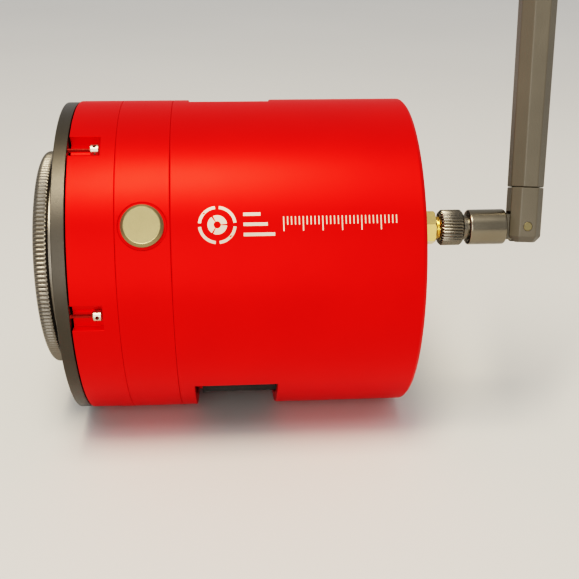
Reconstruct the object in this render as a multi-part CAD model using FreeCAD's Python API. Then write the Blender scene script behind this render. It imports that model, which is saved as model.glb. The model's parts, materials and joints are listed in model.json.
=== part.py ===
import FreeCAD, Part

import math
import os

# Cooled astronomy camera. Millimetres. X is the optical axis: light enters at x = 0 and the rear
# face looks towards +X. Everything is drawn with the side that carries the plug on top (+Z), and
# is turned about X at the end so that this side stands LABEL_ELEVATION above the -Y horizontal.

V = FreeCAD.Vector
AXIS_X = V(1, 0, 0)
AXIS_Y = V(0, 1, 0)
ORIGIN = V(0, 0, 0)

# Driving dimensions -------------------------------------------------------------------------
BODY_R = 45.0
LABEL_ELEVATION = 30.0
ROLL = 90.0 - LABEL_ELEVATION

RED_X = 11.5
CHAMBER_X = RED_X + 12.0
HOUSING_X = RED_X + 26.0
REAR_X = RED_X + 91.9

ADAPTER_R = 31.0
ADAPTER_T = 3.8
ADAPTER_RIBS = 160
NECK_R = 29.2
M42_R = 20.59
M42_LENGTH = 5.0
M54_R = 27.0
THREAD_GAP = 0.05

PLATE_X = 7.6
PLATE_T = 3.5
PLATE_END = PLATE_X + PLATE_T
PLATE_R = 44.7
PULL_COUNT = 3
PULL_CIRCLE = 36.5
PULL_R = 1.25
PULL_HEAD_R = 2.6
PULL_POCKET_R = 2.95
PULL_POCKET_T = 2.2

NOTCH_COUNT = 6
NOTCH_LENGTH = 8.1
NOTCH_WIDTH = 6.9
NOTCH_FLOOR = 41.9
JACK_R = 0.8
JACK_HEAD_R = 1.45
JACK_HEAD_T = 2.35
JACK_CIRCLE = 43.3
JACK_CLEAR = 0.35

WALL = 3.0
WINDOW_X0 = HOUSING_X + 4.3
WINDOW_LENGTH = 23.1
WINDOW_HALF = 20.1

PLUG_X = CHAMBER_X + 7.0
PLUG_R = 5.5
PLUG_TOP = 46.2
PLUG_SEAT = 44.4
PLUG_STEM_R = 4.0
PLUG_STEM_Z = 38.6
PLUG_RIM = 0.7
TABLET_R = 3.4
TABLET_T = 3.0

SENSOR_X = PLATE_X + 17.5
GLASS_R = 24.0
GLASS_T = 2.0
APERTURE_R = 20.0
CHAMBER_BORE = 30.0
SEAL_CIRCLE = 33.0
SEAL_R = 0.82

SINK_X = HOUSING_X + 2.5
SINK_FACE = HOUSING_X
SINK_BASE_T = 4.0
FIN_R = 37.0
FIN_LONG_R = 41.5
FIN_LONG_Z = 15.5
FIN_BASE_R = 34.0
FIN_T = 1.2
FIN_PITCH = 3.6
FIN_END = 66.0
SINK_SCREW_CIRCLE = 31.8

# Screws and the holes they pass through
M3_R = 1.5
M3_CLEAR_R = 1.55
M3_HEAD_R = 2.7
M25_R = 1.25
M25_TAP_R = 1.27
M2_R = 1.0
M2_TAP_R = 1.02
M2_CLEAR_R = 1.1

FAN_SIZE = 50.0
FAN_T = 15.0
FAN_Z = -6.0
FAN_X = REAR_X - 17.9
FAN_DUCT_R = 23.5
FAN_HUB_R = 10.0
FAN_HOLE = 20.0
FAN_BLADES = 7
FAN_PITCH_ANGLE = 42.0
FAN_TIP_GAP = 0.9
FAN_FLOOR_T = 2.0

COVER_T = 2.3
COVER_X = REAR_X - 2.5
COVER_FACE = COVER_X + COVER_T
COVER_R = BODY_R - WALL - 0.1

SMA_Z = 36.0
SMA_R = 3.175
SWIVEL = -77.2
FOLD = 2.5
PIN_X = REAR_X + 27.8
PIN_R = 1.2
BLADE_TOP = 85.0

FAR = 200.0


# Shape helpers ------------------------------------------------------------------------------
def disc(x0, x1, radius, y=0.0, z=0.0):
    """Solid cylinder along X."""
    return Part.makeCylinder(radius, x1 - x0, V(x0, y, z), AXIS_X)


def ring(x0, x1, outer, inner, y=0.0, z=0.0):
    """Tube along X."""
    return disc(x0, x1, outer, y, z).cut(disc(x0 - 1, x1 + 1, inner, y, z))


def block(x0, x1, y0, y1, z0, z1):
    return Part.makeBox(x1 - x0, y1 - y0, z1 - z0, V(x0, y0, z0))


def post(z0, z1, radius, x=0.0, y=0.0):
    """Solid cylinder along Z."""
    return Part.makeCylinder(radius, z1 - z0, V(x, y, z0))


def turned(points):
    """Solid of revolution about X from (x, radius) points."""
    outline = [V(x, 0, r) for x, r in points]
    face = Part.Face(Part.makePolygon(outline + outline[:1]))
    return face.revolve(ORIGIN, AXIS_X, 360)


def prism(points, y0, y1):
    """Solid from (x, z) points, extruded along Y."""
    outline = [V(x, y0, z) for x, z in points]
    face = Part.Face(Part.makePolygon(outline + outline[:1]))
    return face.extrude(V(0, y1 - y0, 0))


def octagon(z, x, half_x, half_y, corner):
    """Closed wire: a rectangle at height z with its corners cut off."""
    corners = [(half_x, half_y - corner), (half_x - corner, half_y),
               (corner - half_x, half_y), (-half_x, half_y - corner),
               (-half_x, corner - half_y), (corner - half_x, -half_y),
               (half_x - corner, -half_y), (half_x, corner - half_y)]
    outline = [V(x + a, b, z) for a, b in corners]
    return Part.makePolygon(outline + outline[:1])


def about_x(shape, angle, y=0.0, z=0.0):
    """Copy turned about the line along X through (y, z)."""
    turned_copy = shape.copy()
    turned_copy.rotate(V(0, y, z), AXIS_X, angle)
    return turned_copy


def around(shape, angles):
    return [about_x(shape, angle) for angle in angles]


def union(shapes):
    return shapes[0].fuse(shapes[1:]).removeSplitter()


def group(shapes):
    return Part.makeCompound(shapes)


def ribbed(x0, x1, radius, depth, count, y=0.0, z=0.0):
    """Cylinder along X with straight triangular ribs round it."""
    outline = []
    for i in range(2 * count):
        angle = math.pi * i / count
        reach = radius - depth * (i % 2)
        outline.append(V(x0, y + reach * math.sin(angle), z + reach * math.cos(angle)))
    face = Part.Face(Part.makePolygon(outline + outline[:1]))
    return face.extrude(V(x1 - x0, 0, 0))


def o_ring(x, major, minor):
    return Part.makeTorus(major, minor, V(x, 0, 0), AXIS_X)


def hexagon(x0, x1, corner_r, y=0.0, z=0.0):
    """Six-sided bar along X, from its centre to its corners corner_r."""
    corners = [math.pi * i / 3 for i in range(6)]
    outline = [V(x0, y + corner_r * math.sin(a), z + corner_r * math.cos(a)) for a in corners]
    return Part.Face(Part.makePolygon(outline + outline[:1])).extrude(V(x1 - x0, 0, 0))


def screw(x_head, head_t, head_r, x_tip, shank_r, socket_r, y, z):
    """Socket screw along X: its head starts at x_head and the shank runs to x_tip."""
    x_top = x_head + head_t
    depth = 0.6 * head_t
    head = disc(x_head, x_top, head_r, y, z)
    if x_tip < x_head:
        shank = disc(x_tip, x_head, shank_r, y, z)
        socket = hexagon(x_top - depth, x_top, socket_r, y, z)
    else:
        shank = disc(x_top, x_tip, shank_r, y, z)
        socket = hexagon(x_head, x_head + depth, socket_r, y, z)
    return head.fuse(shank).cut(socket)


def on_circle(radius, angle):
    """(y, z) at an angle about +X from +Z."""
    turn = math.radians(angle)
    return -radius * math.sin(turn), radius * math.cos(turn)


def four_spots(reach, z=0.0):
    """The (y, z) corners of a square centred on height z."""
    return [(y, z + dz) for y in (-reach, reach) for dz in (-reach, reach)]


def evenly(count, start):
    return [start + 360.0 / count * i for i in range(count)]


NOTCH_ANGLES = evenly(NOTCH_COUNT, 30.0)
PULL_ANGLES = evenly(PULL_COUNT, 60.0)
LONG_ANGLES = [60.0, 120.0, 240.0, 300.0]
LONG_CIRCLE = 38.5
SINK_SCREW_ANGLES = evenly(4, 45.0)
COVER_CIRCLE = 38.4
COVER_SPOTS = [on_circle(COVER_CIRCLE, angle) for angle in (68.0, 125.0, 235.0, 292.0)]
FAN_SPOTS = four_spots(FAN_HOLE, FAN_Z)
parts = {}


# Front adapter and tilt plate ---------------------------------------------------------------
RIB_DEPTH = 0.45
RELIEF_R = 23.5


def front_adapter():
    crown = ribbed(0, ADAPTER_T, ADAPTER_R, RIB_DEPTH, ADAPTER_RIBS)
    envelope = turned([(0, 0), (0, ADAPTER_R - 1.3), (0.5, ADAPTER_R - 0.4), (1.3, ADAPTER_R),
                       (ADAPTER_T - 0.5, ADAPTER_R), (ADAPTER_T, ADAPTER_R - 0.5), (ADAPTER_T, 0)])
    neck = disc(ADAPTER_T, PLATE_X, NECK_R)
    thread = disc(PLATE_X, PLATE_END - 0.3, M54_R - THREAD_GAP)
    body = crown.common(envelope).fuse([neck, thread])
    bore = disc(-1, M42_LENGTH, M42_R)
    relief = disc(M42_LENGTH, PLATE_END, RELIEF_R)
    return body.cut([bore, relief])


def tilt_plate():
    plate = turned([(PLATE_X, M54_R), (PLATE_X, PLATE_R - 0.35), (PLATE_X + 0.35, PLATE_R),
                    (PLATE_END - 0.2, PLATE_R), (PLATE_END, PLATE_R - 0.2), (PLATE_END, M54_R)])
    jack_hole = disc(PLATE_X + 0.9, PLATE_END + 1, JACK_R + 0.02, 0, JACK_CIRCLE)
    shank_hole = disc(PLATE_X - 1, PLATE_END + 1, M3_CLEAR_R, 0, PULL_CIRCLE)
    pocket = disc(PLATE_X - 1, PLATE_X + PULL_POCKET_T, PULL_POCKET_R, 0, PULL_CIRCLE)
    jack_holes = around(jack_hole, NOTCH_ANGLES)
    return plate.cut(jack_holes + around(shank_hole, PULL_ANGLES) + around(pocket, PULL_ANGLES))


def jack_screws():
    """Screws in the plate whose heads stand just clear of the notches' end walls."""
    head_x = RED_X + NOTCH_LENGTH - JACK_CLEAR - JACK_HEAD_T
    head = disc(head_x, head_x + JACK_HEAD_T, JACK_HEAD_R, 0, JACK_CIRCLE)
    shank = disc(PLATE_X + 1.1, head_x, JACK_R, 0, JACK_CIRCLE)
    return group(around(head.fuse(shank), NOTCH_ANGLES))


def pull_screws():
    """Screws through the plate into the front ring, their heads sunk in the plate."""
    one = screw(PLATE_X + 0.3, 1.5, PULL_HEAD_R, RED_X + 7.0, PULL_R, 1.35, 0.0, PULL_CIRCLE)
    return group(around(one, PULL_ANGLES))


parts["front_adapter_ring"] = front_adapter()
parts["tilt_plate"] = tilt_plate()
parts["tilt_jack_screws"] = jack_screws()
parts["tilt_pull_screws"] = pull_screws()


# Front ring, window and chamber -------------------------------------------------------------
GLASS_X = SENSOR_X - 8.0
RETAINER_X = GLASS_X - 2.0
SEAT_X = GLASS_X + GLASS_T + 0.25
POCKET_X = RED_X + 3.0


def front_ring():
    body = turned([(RED_X, CHAMBER_BORE), (RED_X, BODY_R - 0.35), (RED_X + 0.35, BODY_R),
                   (CHAMBER_X - 0.15, BODY_R), (CHAMBER_X, BODY_R - 0.15), (CHAMBER_X, APERTURE_R),
                   (SEAT_X, APERTURE_R), (SEAT_X, GLASS_R + 0.2), (POCKET_X, GLASS_R + 0.2),
                   (POCKET_X, CHAMBER_BORE)])
    half = NOTCH_WIDTH / 2
    notch = block(RED_X - 1, RED_X + NOTCH_LENGTH, -half, half, NOTCH_FLOOR, BODY_R + 2)
    relief = disc(RED_X - 1, RED_X + NOTCH_LENGTH, JACK_HEAD_R + JACK_CLEAR, 0, JACK_CIRCLE)
    notches = around(notch, NOTCH_ANGLES) + around(relief, NOTCH_ANGLES)
    threads = around(disc(RED_X - 1, RED_X + 7.6, M25_TAP_R, 0, PULL_CIRCLE), PULL_ANGLES)
    long_holes = around(disc(CHAMBER_X - 5.5, CHAMBER_X + 1, M3_CLEAR_R, 0, LONG_CIRCLE), LONG_ANGLES)
    return body.cut(notches + threads + long_holes)


def chamber_ring():
    body = turned([(CHAMBER_X, CHAMBER_BORE), (CHAMBER_X, BODY_R - 0.15), (CHAMBER_X + 0.15, BODY_R),
                   (HOUSING_X - 0.15, BODY_R), (HOUSING_X, BODY_R - 0.15), (HOUSING_X, CHAMBER_BORE)])
    long_holes = around(disc(CHAMBER_X - 1, HOUSING_X + 1, M3_CLEAR_R, 0, LONG_CIRCLE), LONG_ANGLES)
    outer, inner, depth = SEAL_CIRCLE + 1.0, SEAL_CIRCLE - 1.0, 1.7
    grooves = [ring(CHAMBER_X - 1, CHAMBER_X + depth, outer, inner),
               ring(HOUSING_X - depth, HOUSING_X + 1, outer, inner)]
    plug_holes = [post(PLUG_SEAT, BODY_R + 2, PLUG_R + 0.7, PLUG_X),
                  post(PLUG_SEAT - 1.2, PLUG_SEAT + 1, 5.2, PLUG_X),
                  post(PLUG_STEM_Z - 0.4, PLUG_SEAT, PLUG_STEM_R + THREAD_GAP, PLUG_X),
                  post(CHAMBER_BORE + 1.6, PLUG_SEAT, TABLET_R + 0.2, PLUG_X),
                  post(CHAMBER_BORE - 3, CHAMBER_BORE + 3, 1.5, PLUG_X)]
    return body.cut(long_holes + grooves + plug_holes)


def desiccant_plug():
    head = post(PLUG_SEAT, PLUG_TOP - PLUG_RIM, PLUG_R, PLUG_X)
    bevel = Part.makeCone(PLUG_R, PLUG_R - PLUG_RIM, PLUG_RIM, V(PLUG_X, 0, PLUG_TOP - PLUG_RIM))
    stem = post(PLUG_STEM_Z, PLUG_SEAT, PLUG_STEM_R, PLUG_X)
    return union([head, bevel, stem])


def window_retainer():
    body = ring(RETAINER_X, RETAINER_X + 1.2, GLASS_R + 0.1, GLASS_R - 3.5)
    slot = block(RETAINER_X - 1, RETAINER_X + 0.8, -0.8, 0.8, GLASS_R - 3.6, GLASS_R - 1.6)
    return body.cut(around(slot, [0.0, 180.0]))


parts["front_ring"] = front_ring()
parts["chamber_ring"] = chamber_ring()
parts["desiccant_plug"] = desiccant_plug()
parts["plug_o_ring"] = Part.makeTorus(4.6, 0.5, V(PLUG_X, 0, PLUG_SEAT - 0.6), V(0, 0, 1))
parts["desiccant_tablets"] = group([post(z, z + TABLET_T, TABLET_R, PLUG_X) for z in (31.7, 35.0)])
parts["window_glass"] = disc(GLASS_X, GLASS_X + GLASS_T, GLASS_R)
parts["window_retaining_ring"] = window_retainer()
parts["window_seal"] = o_ring(GLASS_X - 0.38, GLASS_R - 1.6, 0.36)
parts["dew_heater_film"] = ring(SEAT_X - 0.23, SEAT_X - 0.02, GLASS_R - 0.2, APERTURE_R + 0.3)
parts["chamber_seals"] = group([o_ring(CHAMBER_X + 0.85, SEAL_CIRCLE, SEAL_R),
                                o_ring(HOUSING_X - 0.85, SEAL_CIRCLE, SEAL_R)])


# Sensor stack -------------------------------------------------------------------------------
BOARD_X = SENSOR_X + 1.9
BOARD_T = 1.6
SENSOR_BOARD_R = 29.3
FINGER_END = 34.0
POST_SPOTS = four_spots(19.5)
SENSOR_HALF_Y = 12.4
SENSOR_HALF_Z = 8.6


def image_sensor():
    """Ceramic package with a raised frame round the sunken chip."""
    package = block(SENSOR_X - 0.1, BOARD_X - 0.1, -15.0, 15.0, -11.5, 11.5)
    well = block(SENSOR_X - 1, SENSOR_X + 0.05, -SENSOR_HALF_Y, SENSOR_HALF_Y, -SENSOR_HALF_Z, SENSOR_HALF_Z)
    frame = block(SENSOR_X - 0.8, SENSOR_X - 0.1, -14.4, 14.4, -10.9, 10.9)
    return package.fuse(frame).cut(well)


def sensor_board():
    board = disc(BOARD_X, BOARD_X + BOARD_T, SENSOR_BOARD_R)
    finger_hole = block(0, FAR, -8.2, 8.2, -6.2, 6.2)
    return board.cut([finger_hole] + [disc(0, FAR, M2_CLEAR_R, y, z) for y, z in POST_SPOTS])


def sensor_posts():
    made = []
    for y, z in POST_SPOTS:
        head = disc(BOARD_X - 0.8, BOARD_X, 1.9, y, z)
        neck = disc(BOARD_X, BOARD_X + BOARD_T, M2_R, y, z)
        barrel = disc(BOARD_X + BOARD_T, SINK_FACE, 1.6, y, z)
        made.append(barrel.fuse([neck, head]))
    return group(made)


def peltier():
    stages = [block(FINGER_END, FINGER_END + 1.6, -10, 10, -10, 10),
              block(FINGER_END + 1.6, SINK_FACE, -15, 15, -15, 15)]
    return union(stages)


parts["image_sensor"] = image_sensor()
parts["guide_sensor"] = block(SENSOR_X - 0.4, BOARD_X - 0.1, -4.6, 4.6, 12.6, 18.4)
parts["sensor_board"] = sensor_board()
parts["sensor_board_posts"] = sensor_posts()
parts["cold_finger"] = union([block(BOARD_X - 0.1, BOARD_X + BOARD_T + 0.4, -8, 8, -6, 6),
                              block(BOARD_X + BOARD_T + 0.4, FINGER_END, -10, 10, -10, 10)])
parts["peltier_cooler"] = peltier()
parts["cooler_insulation"] = block(BOARD_X + 3, SINK_FACE - 0.2, -18.5, 18.5, -17, 17).cut(
    block(0, FAR, -15.3, 15.3, -15.3, 15.3))


# Rear housing, heat sink and long screws ----------------------------------------------------
def rear_housing():
    inner = BODY_R - WALL
    tube = turned([(HOUSING_X, CHAMBER_BORE), (HOUSING_X, BODY_R - 0.15), (HOUSING_X + 0.15, BODY_R),
                   (REAR_X - 0.9, BODY_R), (REAR_X, BODY_R - 0.9), (REAR_X, inner),
                   (SINK_X, inner), (SINK_X, CHAMBER_BORE)])
    cutters = []
    for near, far in ((-50.0, -32.0), (32.0, 50.0)):
        cutters.append(block(WINDOW_X0, WINDOW_X0 + WINDOW_LENGTH, near, far, -WINDOW_HALF, WINDOW_HALF))
    tube = tube.cut(cutters)
    tube = tube.makeChamfer(0.4, [edge for edge in tube.Edges if on_window_rim(edge)])
    limit = disc(0, FAR, BODY_R - 1)
    bosses = [disc(COVER_X - 12.0, COVER_X, 4.0, y, z).common(limit) for y, z in COVER_SPOTS]
    holes = [disc(COVER_X - 10.5, COVER_X + 1, M25_TAP_R, y, z) for y, z in COVER_SPOTS]
    holes += around(disc(HOUSING_X - 1, SINK_X + 1, M3_CLEAR_R, 0, LONG_CIRCLE), LONG_ANGLES)
    holes += around(disc(HOUSING_X + 0.8, SINK_X + 1, M2_TAP_R, 0, SINK_SCREW_CIRCLE), SINK_SCREW_ANGLES)
    return tube.fuse(bosses).cut(holes)


def on_window_rim(edge):
    """True for the edges where a window meets the outside of the tube."""
    points = edge.discretize(5)
    outside = all(abs(math.hypot(p.y, p.z) - BODY_R) < 0.01 for p in points)
    box = edge.BoundBox
    within = box.XMin > WINDOW_X0 - 0.1 and box.XMax < WINDOW_X0 + WINDOW_LENGTH + 0.1
    return outside and within and box.XMin > SINK_X


def heat_sink():
    """Plate with straight fins from side to side; the fins level with the vents reach the wall."""
    base_end = SINK_X + SINK_BASE_T
    base = disc(SINK_X, base_end, FIN_BASE_R).fuse(disc(SINK_FACE, SINK_X, CHAMBER_BORE - 0.1))
    fins = []
    count = int(FIN_BASE_R / FIN_PITCH)
    for i in range(-count, count + 1):
        z = i * FIN_PITCH
        top = abs(z) + FIN_T / 2
        reach = FIN_LONG_R if top < FIN_LONG_Z else FIN_R
        half = math.sqrt(reach ** 2 - top ** 2)
        fins.append(block(base_end - 0.5, FIN_END, -half, half, z - FIN_T / 2, z + FIN_T / 2))
    hole = disc(SINK_X - 1, base_end + 1, M2_CLEAR_R, 0, SINK_SCREW_CIRCLE)
    pocket = disc(base_end - 1.2, FIN_END + 1, 2.3, 0, SINK_SCREW_CIRCLE)
    return base.fuse(fins).cut(around(hole, SINK_SCREW_ANGLES) + around(pocket, SINK_SCREW_ANGLES))


def long_screws():
    """Screws from the housing's floor through the chamber ring into the front ring."""
    one = screw(SINK_X, 2.8, M3_HEAD_R, CHAMBER_X - 5.0, M3_R, 1.45, 0, LONG_CIRCLE)
    return group(around(one, LONG_ANGLES))


def sink_screws():
    one = screw(SINK_X + SINK_BASE_T - 1.2, 1.6, 1.9, HOUSING_X + 1.0, M2_R, 0.87, 0, SINK_SCREW_CIRCLE)
    return group(around(one, SINK_SCREW_ANGLES))


parts["rear_housing"] = rear_housing()
parts["heat_sink"] = heat_sink()
parts["assembly_screws"] = long_screws()
parts["heat_sink_screws"] = sink_screws()


# Fan ----------------------------------------------------------------------------------------
FAN_END = FAN_X + FAN_T
FAN_FLOOR = FAN_END - FAN_FLOOR_T


def fan_frame():
    half = FAN_SIZE / 2
    body = block(FAN_X, FAN_END, -half, half, FAN_Z - half, FAN_Z + half)
    corners = [edge for edge in body.Edges if abs(edge.Vertexes[0].X - edge.Vertexes[-1].X) > 1]
    body = body.makeFillet(3.0, corners).cut(disc(FAN_X - 1, FAN_END + 1, FAN_DUCT_R, 0, FAN_Z))
    arm = block(FAN_FLOOR, FAN_END, -1.3, 1.3, FAN_Z, FAN_Z + FAN_DUCT_R + 1)
    arms = [about_x(arm, angle, 0, FAN_Z) for angle in evenly(4, 45.0)]
    hub = disc(FAN_FLOOR, FAN_END, FAN_HUB_R, 0, FAN_Z)
    tube = disc(FAN_X + 4, FAN_FLOOR, 2.8, 0, FAN_Z)
    holes = [disc(FAN_X - 1, FAN_END + 1, M3_R, y, z) for y, z in FAN_SPOTS]
    holes.append(disc(FAN_X + 3, FAN_END - 0.8, 1.3, 0, FAN_Z))
    return body.fuse(arms + [hub, tube]).cut(holes)


def fan_rotor():
    """Cup that turns over the coils, with its shaft and blades."""
    rear = FAN_FLOOR - 0.6
    root, tip = FAN_HUB_R - 0.7, FAN_DUCT_R - FAN_TIP_GAP
    cap = disc(FAN_X + 1.2, FAN_X + 2.8, FAN_HUB_R, 0, FAN_Z)
    wall = ring(FAN_X + 2.8, rear, FAN_HUB_R, FAN_HUB_R - 1.2, 0, FAN_Z)
    shaft = disc(FAN_X + 2.0, FAN_END - 1.1, 1.25, 0, FAN_Z)
    middle = FAN_X + 6.6
    blade = block(middle - 5.6, middle + 5.6, -0.5, 0.5, root, tip)
    blade.rotate(V(middle, 0, 0), V(0, 0, 1), FAN_PITCH_ANGLE)
    blade = blade.common(ring(FAN_X + 1, rear, tip, root))
    blade.translate(V(0, 0, FAN_Z))
    blades = [about_x(blade, angle, 0, FAN_Z) for angle in evenly(FAN_BLADES, 0.0)]
    return cap.fuse([wall, shaft] + blades)


def fan_screws():
    return group([screw(COVER_FACE - 1.3, 1.3, 2.6, FAN_END - 6, 1.4, 1.15, y, z)
                  for y, z in FAN_SPOTS])


parts["fan_frame"] = fan_frame()
parts["fan_rotor"] = fan_rotor()
parts["fan_coils"] = ring(FAN_X + 4.5, FAN_END - 2.2, 8.2, 3.0, 0, FAN_Z)
parts["fan_screws"] = fan_screws()


# Electronics and ports ----------------------------------------------------------------------
MAIN_Z = 30.4
CAMERA_BOARD_Z = 22.0
USB_Y = 9.0
USB_Z = 26.6
DC_YZ = 24.0
BUTTON_Y, BUTTON_Z = -13.0, 34.4
BUTTON_R = 2.0
USBC_Y, USBC_Z = 13.5, 34.1
USBC_HALF, USBC_R = 3.0, 1.6
LED_Y, LED_Z = -19.0, 33.2
LED_R = 1.0
SOCKET_END = COVER_FACE - 0.2


def board(x0, x1, half_y, z, chips):
    plate = block(x0, x1, -half_y, half_y, z, z + BOARD_T)
    raised = [block(x, x + dx, y, y + dy, z + BOARD_T - 0.2, z + BOARD_T + 1.0) for x, dx, y, dy in chips]
    return union([plate] + raised)


def usb_port(y):
    """USB type A receptacle: folded shell with the tongue in its upper half."""
    shell = block(REAR_X - 17.0, SOCKET_END, y - 6.6, y + 6.6, USB_Z - 2.85, USB_Z + 2.85)
    hollow = block(REAR_X - 12.0, REAR_X, y - 6.2, y + 6.2, USB_Z - 2.4, USB_Z + 2.4)
    tongue = block(REAR_X - 12.5, COVER_FACE - 1.0, y - 5.6, y + 5.6, USB_Z + 0.2, USB_Z + 2.0)
    return shell.cut(hollow).fuse(tongue)


def stadium(x0, x1, half, radius):
    """Bar along X at the USB-C port with round sides."""
    return union([block(x0, x1, USBC_Y - half, USBC_Y + half, USBC_Z - radius, USBC_Z + radius),
                  disc(x0, x1, radius, USBC_Y - half, USBC_Z),
                  disc(x0, x1, radius, USBC_Y + half, USBC_Z)])


def usb_c_port():
    outer = stadium(REAR_X - 9, SOCKET_END, USBC_HALF, USBC_R)
    inner = stadium(REAR_X - 6.6, REAR_X, USBC_HALF, USBC_R - 0.35)
    tongue = block(REAR_X - 7, COVER_FACE - 0.8, USBC_Y - 3.2, USBC_Y + 3.2, USBC_Z - 0.35, USBC_Z + 0.35)
    return outer.cut(inner).fuse(tongue)


def dc_socket(y):
    """Barrel socket: square body, round nose in the cover and a centre pin."""
    nose_x = COVER_X - 0.1
    body = block(REAR_X - 14.0, nose_x, y - 4.6, y + 4.6, DC_YZ - 4.6, DC_YZ + 4.4)
    nose = disc(nose_x, COVER_FACE + 0.4, 3.9, y, DC_YZ)
    hole = disc(REAR_X - 11.0, REAR_X + 2, 3.0, y, DC_YZ)
    pin = disc(REAR_X - 12.0, COVER_FACE - 0.4, 1.05, y, DC_YZ)
    return union([body, nose]).cut(hole).fuse(pin)


def button():
    cap = disc(COVER_X - 1.0, COVER_FACE + 0.9, BUTTON_R, BUTTON_Y, BUTTON_Z)
    collar = disc(COVER_X - 1.1, COVER_X - 0.3, 2.7, BUTTON_Y, BUTTON_Z)
    return union([cap, collar])


def rear_cover():
    body = turned([(COVER_X, 0), (COVER_X, COVER_R), (COVER_FACE - 0.3, COVER_R),
                   (COVER_FACE, COVER_R - 0.3), (COVER_FACE, 0)])
    low, high = COVER_X - 1, COVER_FACE + 1
    recess = COVER_FACE - 1.4
    spoke = block(low - 1, high + 1, -1.1, 1.1, FAN_Z - 30, FAN_Z + 30)
    spokes = [about_x(spoke, angle, 0, FAN_Z) for angle in (0, 45, 90, 135)]
    slots = [ring(low, high, r + 2.9, r, 0, FAN_Z).cut(spokes) for r in (11.4, 15.6, 19.8)]
    holes = [block(low, high, y - 6.8, y + 6.8, USB_Z - 3.05, USB_Z + 3.05) for y in (-USB_Y, USB_Y)]
    holes += [disc(low, high, 4.0, y, DC_YZ) for y in (-DC_YZ, DC_YZ)]
    holes.append(stadium(low, high, USBC_HALF, USBC_R + 0.2))
    holes.append(disc(low, high, BUTTON_R + 0.1, BUTTON_Y, BUTTON_Z))
    holes.append(disc(low, high, LED_R + 0.03, LED_Y, LED_Z))
    holes.append(disc(low, high, SMA_R + 0.05, 0, SMA_Z))
    for y, z in COVER_SPOTS:
        holes += [disc(low, high, 1.35, y, z), disc(recess, high, 2.45, y, z)]
    for y, z in FAN_SPOTS:
        holes += [disc(low, high, M3_R, y, z), disc(recess, high, 2.75, y, z)]
    return body.cut(slots).cut(holes)


def cover_screws():
    return group([screw(COVER_FACE - 1.4, 1.3, 2.3, COVER_X - 9.5, M25_R, 1.0, y, z)
                  for y, z in COVER_SPOTS])


def board_posts():
    spots = [(x, y) for x in (71.0, 82.8) for y in (-20, 20)]
    return group([post(CAMERA_BOARD_Z + BOARD_T, MAIN_Z, 1.7, x, y) for x, y in spots])


MAIN_CHIPS = [(72, 9, -14, 9), (73, 7, 6, 12), (84, 6, -20, 6)]
CAMERA_CHIPS = [(73, 9, -5, 10), (73, 6, 9, 8), (76, 4, -29, 5)]
parts["main_board"] = board(69.0, COVER_X - 2.6, 23.0, MAIN_Z, MAIN_CHIPS)
parts["camera_board"] = board(68.5, 84.8, 31.0, CAMERA_BOARD_Z, CAMERA_CHIPS)
parts["board_posts"] = board_posts()
parts["usb_a_ports"] = group([usb_port(-USB_Y), usb_port(USB_Y)])
parts["usb_c_port"] = usb_c_port()
parts["dc_sockets"] = group([dc_socket(-DC_YZ), dc_socket(DC_YZ)])
parts["reset_button"] = button()
parts["button_switch"] = block(COVER_X - 6.5, COVER_X - 2.2, BUTTON_Y - 3, BUTTON_Y + 3,
                               MAIN_Z + BOARD_T, BUTTON_Z + 2.4)
parts["indicator_light_pipe"] = disc(COVER_X - 4.0, COVER_FACE, LED_R, LED_Y, LED_Z)
parts["rear_cover"] = rear_cover()
parts["rear_cover_screws"] = cover_screws()


# Antenna ------------------------------------------------------------------------------------
NUT_START = REAR_X + 4.8
NUT_END = REAR_X + 10.8
NUT_R = 4.7
NUT_RIBS = 32
NUT_RIB_DEPTH = 0.3
SLEEVE_START = REAR_X + 12.3
SLEEVE_END = REAR_X + 22.4
SLEEVE_R = 4.65
TONGUE_R = 3.4
TONGUE_HALF = 1.8
FORK_HALF_X = 4.3
FORK_HALF_Y = 4.2
FORK_BOTTOM = -4.2
FORK_TOP = 10.2
BLADE_HALF_X = 4.45
BLADE_HALF_Y = 4.35
BLADE_TOP_HALF = 4.75
BLADE_CORNER = 2.6


def sma_connector():
    barrel = disc(COVER_X - 2.4, REAR_X + 9.0, SMA_R, 0, SMA_Z)
    flange = disc(COVER_X - 2.0, COVER_X, 4.2, 0, SMA_Z)
    bore = disc(REAR_X + 1.5, REAR_X + 10, 2.3, 0, SMA_Z)
    contact = disc(REAR_X, REAR_X + 7.5, 0.6, 0, SMA_Z)
    return union([barrel, flange]).cut(bore).fuse(contact)


def hex_nut(x0, x1, across_flats, hole):
    radius = across_flats / math.sqrt(3)
    crown = turned([(x0, 0), (x0, radius - 0.35), (x0 + 0.35, radius), (x1 - 0.35, radius),
                    (x1, radius - 0.35), (x1, 0)])
    crown.translate(V(0, 0, SMA_Z))
    return hexagon(x0, x1, radius, 0, SMA_Z).common(crown).cut(disc(x0 - 1, x1 + 1, hole, 0, SMA_Z))


def coupling_nut():
    edge = NUT_R - 0.4
    ribs = ribbed(NUT_START, NUT_END, NUT_R, NUT_RIB_DEPTH, NUT_RIBS, 0, SMA_Z)
    crown = turned([(NUT_START, 0), (NUT_START, edge), (NUT_START + 0.4, NUT_R), (NUT_END - 0.4, NUT_R),
                    (NUT_END, edge), (NUT_END, 0)])
    crown.translate(V(0, 0, SMA_Z))
    thread = disc(NUT_START - 1, NUT_END - 1.2, SMA_R + 0.08, 0, SMA_Z)
    return ribs.common(crown).cut([thread, disc(NUT_START, NUT_END + 1, 2.6, 0, SMA_Z)])


def antenna_barrel():
    pieces = [disc(REAR_X + 9.1, REAR_X + 9.4, 3.0, 0, SMA_Z),
              disc(REAR_X + 9.4, SLEEVE_START + 4, 2.5, 0, SMA_Z),
              disc(NUT_END + 0.2, SLEEVE_START, 3.3, 0, SMA_Z)]
    return union(pieces)


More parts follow.
